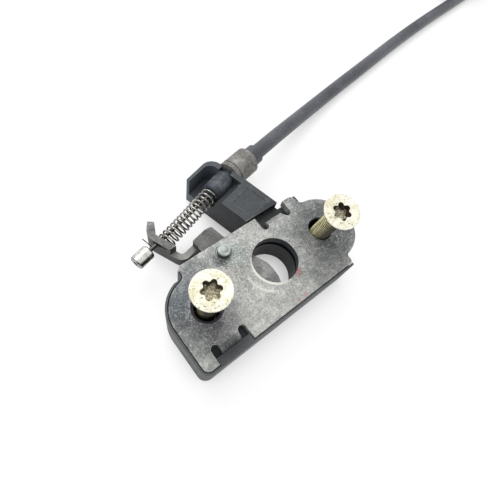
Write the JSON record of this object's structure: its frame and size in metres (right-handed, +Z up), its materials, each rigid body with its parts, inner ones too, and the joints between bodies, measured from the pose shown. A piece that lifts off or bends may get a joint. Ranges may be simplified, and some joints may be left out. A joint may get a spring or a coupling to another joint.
{
  "type": "seat latch",
  "caption": "Seat latch with a striker hole in a steel plate, a swinging pawl, and a release cable with a return spring.",
  "frame": {"origin": "on the axis of the striker hole, at the underside of the housing", "axes": "X along the plate from the left screw to the right screw, Y towards the cable bracket, Z up out of the plate; the underside rests on z=0"},
  "size_m": [0.2848, 0.1442, 0.0308],
  "materials": {
    "black_moulding": "matt, slightly grained",
    "zinc_plate": "mottled grey zinc, worn bright at the striker hole",
    "dark_sheet": "dark phosphated sheet with bare edges",
    "spring_steel": "dark wire with bright glints",
    "bright_nipple": "bright turned metal",
    "dull_ferrule": "dull warm grey",
    "conduit_cover": "black cover with a grey bloom",
    "yellow_zinc": "pale yellow passivated zinc with dark specks"
  },
  "bodies": {
    "body": {"housing": "black_moulding", "latch_plate": "zinc_plate", "pivot_rivet": "zinc_plate", "cable_guide": "black_moulding", "ferrule_barrel": "dull_ferrule", "ferrule_collar": "conduit_cover", "conduit": "conduit_cover", "conduit_coil": "conduit_cover", "conduit_tail": "conduit_cover", "far_ferrule": "dull_ferrule", "far_wire": "spring_steel", "far_nipple": "bright_nipple", "screw_left": "yellow_zinc", "screw_right": "yellow_zinc", "return_spring": "spring_steel"},
    "lever": {"pawl": "dark_sheet"},
    "core": {"inner_wire": "spring_steel", "nipple": "bright_nipple"}
  },
  "joints": [
    {"name": "pawl_pivot", "type": "hinge", "parent": "body", "child": "lever", "pos_m": [-0.0119, 0.011, 0.0097], "axis": [0, 0, -1], "range_deg": [0, 30], "stiffness_Nm_per_rad": 0.08, "springref_deg": -20.05, "deforming": ["return_spring"]},
    {"name": "core_slide", "type": "slide", "parent": "body", "child": "core", "axis": [0.9728, 0.2317, 0], "range_m": [0, 0.0112]}
  ],
  "couplings": [
    {"joint": "core_slide", "follows": "pawl_pivot", "m_per_rad": 0.0212}
  ]
}
